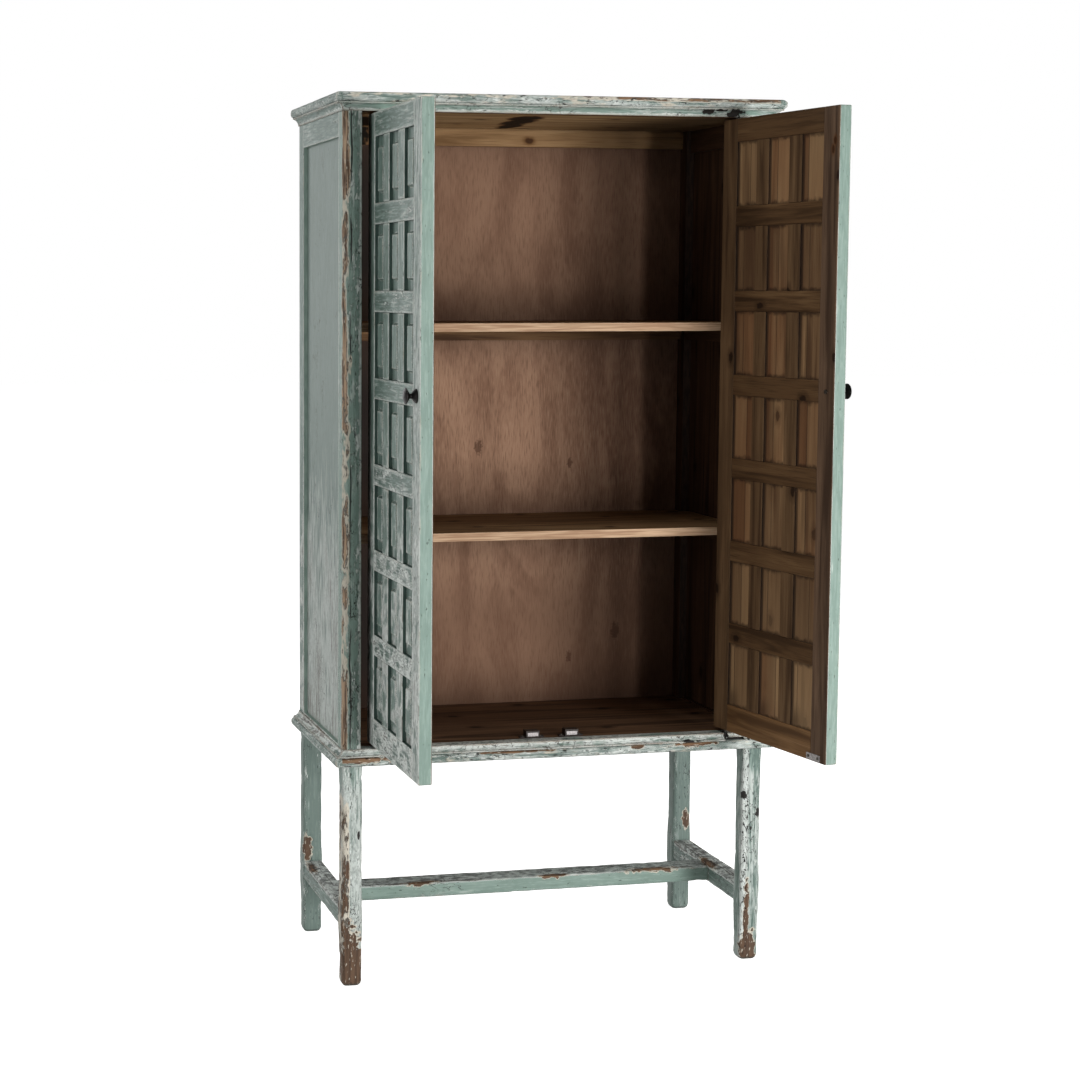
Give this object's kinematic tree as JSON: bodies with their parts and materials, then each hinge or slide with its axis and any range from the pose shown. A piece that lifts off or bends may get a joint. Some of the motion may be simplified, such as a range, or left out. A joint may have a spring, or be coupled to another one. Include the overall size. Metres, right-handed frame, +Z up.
{
  "type": "cupboard",
  "caption": "Tall wooden cupboard in worn grey-green paint, with pivot-hung panelled doors, inner shelves and an open stand with H-stretchers.",
  "frame": {"origin": "middle of the footprint of the four legs, on the floor", "axes": "+X to the right seen from the front, -Y towards the front, +Z up"},
  "size_m": [0.996, 0.8365, 1.9],
  "materials": {
    "painted_wood": "worn grey-green paint over brown wood",
    "stained_wood": "brown stain",
    "plywood": "brown stain",
    "black_metal": "black, satin",
    "steel": "dull zinc",
    "magnet": "matt",
    "catch_plastic": "matt"
  },
  "bodies": {
    "case": {"back_cleats": "stained_wood", "back_left_leg": "painted_wood", "back_left_post": "painted_wood", "back_panel": "plywood", "back_right_leg": "painted_wood", "back_right_post": "painted_wood", "back_top_rail": "stained_wood", "base_cove_front": "painted_wood", "base_cove_mended_end": "painted_wood", "base_cove_returns": "painted_wood", "base_slab": "painted_wood", "catch_housings": "catch_plastic", "catch_magnets": "magnet", "catch_screws": "steel", "ceiling_board": "stained_wood", "centre_stretcher": "painted_wood", "cornice_front": "painted_wood", "cornice_returns": "painted_wood", "floor_board": "stained_wood", "front_left_leg": "painted_wood", "front_left_post": "painted_wood", "front_right_leg": "painted_wood", "front_right_post": "painted_wood", "front_top_rail": "painted_wood", "left_side_panel": "painted_wood", "left_stretcher": "painted_wood", "lower_shelf": "stained_wood", "pivot_bushes": "steel", "right_side_panel": "painted_wood", "right_stretcher": "painted_wood", "side_bottom_rails": "painted_wood", "side_cleats": "stained_wood", "side_top_rails": "painted_wood", "sill": "painted_wood", "top_slab": "painted_wood", "upper_shelf": "stained_wood"},
    "left_door": {"left_door_bottom_rail": "painted_wood", "left_door_free_stile": "painted_wood", "left_door_hinge_stile": "painted_wood", "left_door_knob": "black_metal", "left_door_knob_bolt": "steel", "left_door_mid_rails": "painted_wood", "left_door_muntins": "painted_wood", "left_door_panels": "painted_wood", "left_door_pivot_pins": "steel", "left_door_strike_plate": "steel", "left_door_strike_screws": "steel", "left_door_top_rail": "painted_wood"},
    "right_door": {"right_door_bottom_rail": "painted_wood", "right_door_free_stile": "painted_wood", "right_door_hinge_stile": "painted_wood", "right_door_knob": "black_metal", "right_door_knob_bolt": "steel", "right_door_mid_rails": "painted_wood", "right_door_muntins": "painted_wood", "right_door_panels": "painted_wood", "right_door_pivot_pins": "steel", "right_door_strike_plate": "steel", "right_door_strike_screws": "steel", "right_door_top_rail": "painted_wood"}
  },
  "joints": [
    {"name": "left_door_swing", "type": "hinge", "parent": "case", "child": "left_door", "pos_m": [-0.399, -0.212, 0], "axis": [0, 0, -1], "range_deg": [-90, 40]},
    {"name": "right_door_swing", "type": "hinge", "parent": "case", "child": "right_door", "pos_m": [0.399, -0.212, 0], "axis": [0, 0, 1], "range_deg": [-99, 31]}
  ]
}
